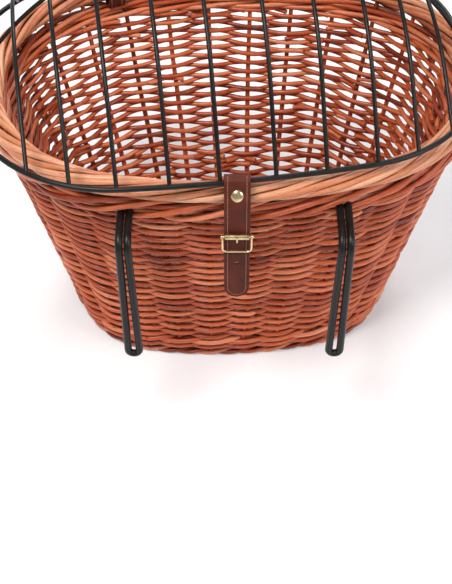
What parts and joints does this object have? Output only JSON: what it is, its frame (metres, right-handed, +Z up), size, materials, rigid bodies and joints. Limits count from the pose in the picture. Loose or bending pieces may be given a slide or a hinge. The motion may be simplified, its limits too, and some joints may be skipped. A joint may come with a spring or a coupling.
{
  "type": "handlebar basket",
  "caption": "Oval woven willow handlebar basket that tapers to its foot, with a hinged wire dome lid, a leather strap and roller buckle, and two black rod hooks on its back wall.",
  "frame": {"origin": "middle of the object's footprint box, on the floor plane under the foot ring", "axes": "+X to the right and +Y forward, away from the rider, as seen from the saddle; +Z up"},
  "size_m": [0.4594, 0.3673, 0.4138],
  "materials": {
    "willow": "satin stained willow rods",
    "willow_border": "satin, paler peeled willow",
    "black_coating": "satin black coated steel rod",
    "leather": "smooth brown leather with pale stitching",
    "brass": "polished, slightly worn"
  },
  "bodies": {
    "basket": {"foot_ring": "willow", "bottom_waling": "willow", "side_weave": "willow", "top_waling": "willow", "rim_border": "willow_border", "stakes": "willow", "base_weave": "willow", "base_sticks": "willow", "hook_frame": "black_coating", "hinge_loop_left": "leather", "hinge_loop_right": "leather", "hinge_rivets": "brass", "buckle_strap": "leather", "buckle_strap_rivet": "brass"},
    "lid": {"lid_rim_wire": "black_coating", "lid_cross_wire": "black_coating", "dome_wire_01": "black_coating", "dome_wire_02": "black_coating", "dome_wire_03": "black_coating", "dome_wire_04": "black_coating", "dome_wire_05": "black_coating", "dome_wire_06": "black_coating", "dome_wire_07": "black_coating", "dome_wire_08": "black_coating", "dome_wire_09": "black_coating", "dome_wire_10": "black_coating"},
    "strap": {"closure_strap": "leather", "closure_rivet": "brass", "closure_rivet_post": "brass"},
    "buckle": {"buckle_frame": "brass"},
    "roller": {"buckle_roller": "brass"},
    "prong": {"buckle_prong": "brass"}
  },
  "joints": [
    {"name": "lid_hinge", "type": "hinge", "parent": "basket", "child": "lid", "pos_m": [-0.1102, 0.14843, 0.2816], "axis": [-0.989, -0.1478, 0], "range_deg": [0, 135]},
    {"name": "strap_swing", "type": "hinge", "parent": "lid", "child": "strap", "pos_m": [0.01, -0.1543, 0.2816], "axis": [-0.989, -0.1478, 0], "range_deg": [-135, 0], "deforming": ["closure_strap"]},
    {"name": "buckle_swing", "type": "hinge", "parent": "basket", "child": "buckle", "pos_m": [0.01, -0.16686, 0.23032], "axis": [-1, 0, 0], "range_deg": [-30, 65]},
    {"name": "prong_pivot", "type": "hinge", "parent": "buckle", "child": "prong", "pos_m": [0.01, -0.16686, 0.23032], "axis": [1, 0, 0], "range_deg": [0, 55]},
    {"name": "roller_spin", "type": "hinge", "parent": "buckle", "child": "roller", "pos_m": [0.01, -0.17394, 0.23925], "axis": [1, 0, 0], "continuous": true}
  ],
  "couplings": [
    {"joint": "strap_swing", "follows": "lid_hinge", "ratio": -1}
  ]
}
